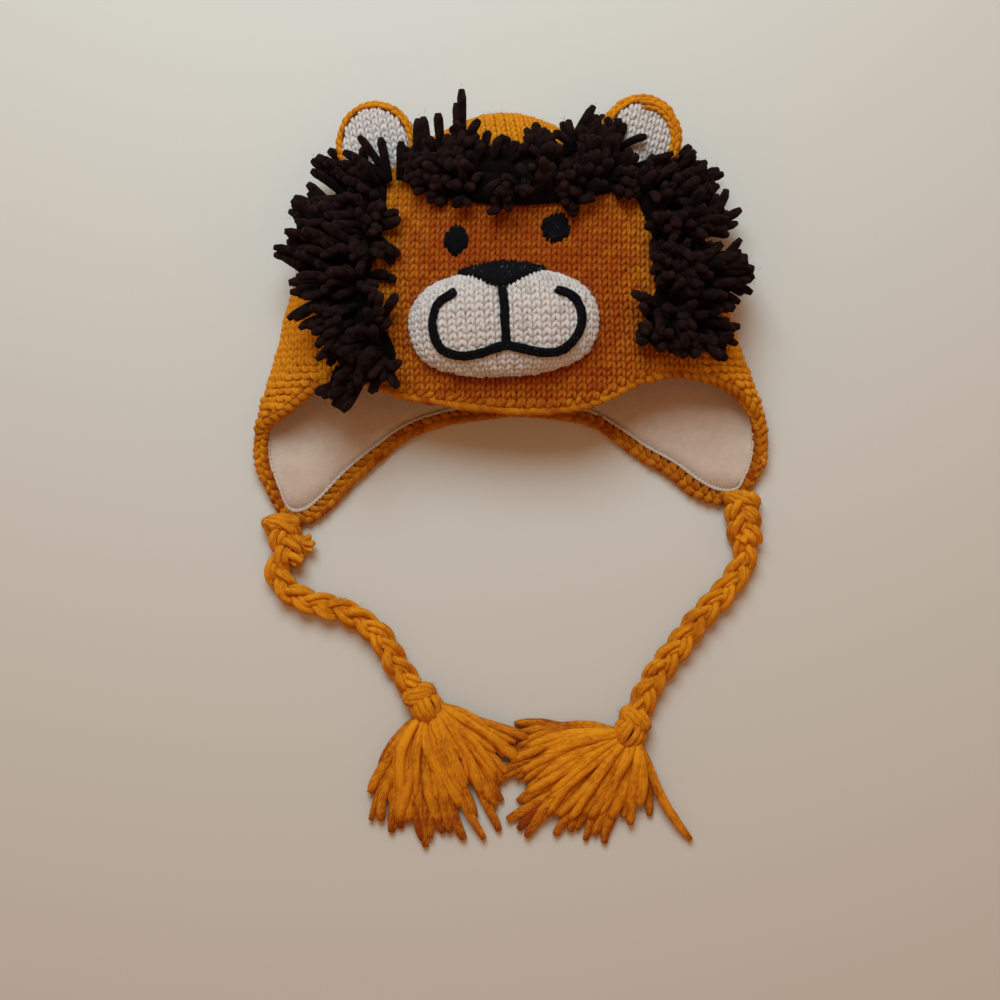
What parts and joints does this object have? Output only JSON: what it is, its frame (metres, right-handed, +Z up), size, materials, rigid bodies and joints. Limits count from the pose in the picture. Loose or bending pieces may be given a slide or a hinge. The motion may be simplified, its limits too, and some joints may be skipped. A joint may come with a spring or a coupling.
{
  "type": "baby hat with ears",
  "caption": "Knitted lion hat for a baby or toddler, with round ears, dark yarn mane, padded muzzle, fleece-lined ear flaps and braided ties with tassels, lying on its back",
  "frame": {"origin": "on the table under the crown, at the flat resting face of the hat's back", "axes": "+X to the right as the face is seen, +Y towards the top of the hat, +Z up from the table through the face"},
  "size_m": [0.2369, 0.3465, 0.0591],
  "materials": {
    "knit_gold": "soft wool stockinette knit, matt and slightly fuzzy",
    "crochet_gold": "crocheted wool chain, matt",
    "fleece_cream": "short-pile fleece, matt",
    "knit_cream": "heathered off-white wool knit",
    "yarn_brown": "cut ends of thick dark brown wool yarn",
    "yarn_black": "near-black wool yarn, embroidered",
    "yarn_gold": "thick golden wool yarn, braided and loose"
  },
  "bodies": {
    "root": {"crown": "knit_gold", "lining": "fleece_cream", "edging": "crochet_gold", "muzzle": "knit_cream", "nose": "yarn_black", "mouth": "yarn_black", "eye_left": "yarn_black", "eye_right": "yarn_black", "ear_left_back": "knit_gold", "ear_left_front": "knit_cream", "ear_right_back": "knit_gold", "ear_right_front": "knit_cream", "mane_left": "yarn_brown", "mane_top": "yarn_brown", "mane_right": "yarn_brown", "root_left": "yarn_gold", "root_right": "yarn_gold", "tie_left": "yarn_gold", "tie_right": "yarn_gold", "knot_left": "yarn_gold", "knot_right": "yarn_gold", "tassel_left": "yarn_gold", "tassel_right": "yarn_gold"}
  },
  "joints": []
}
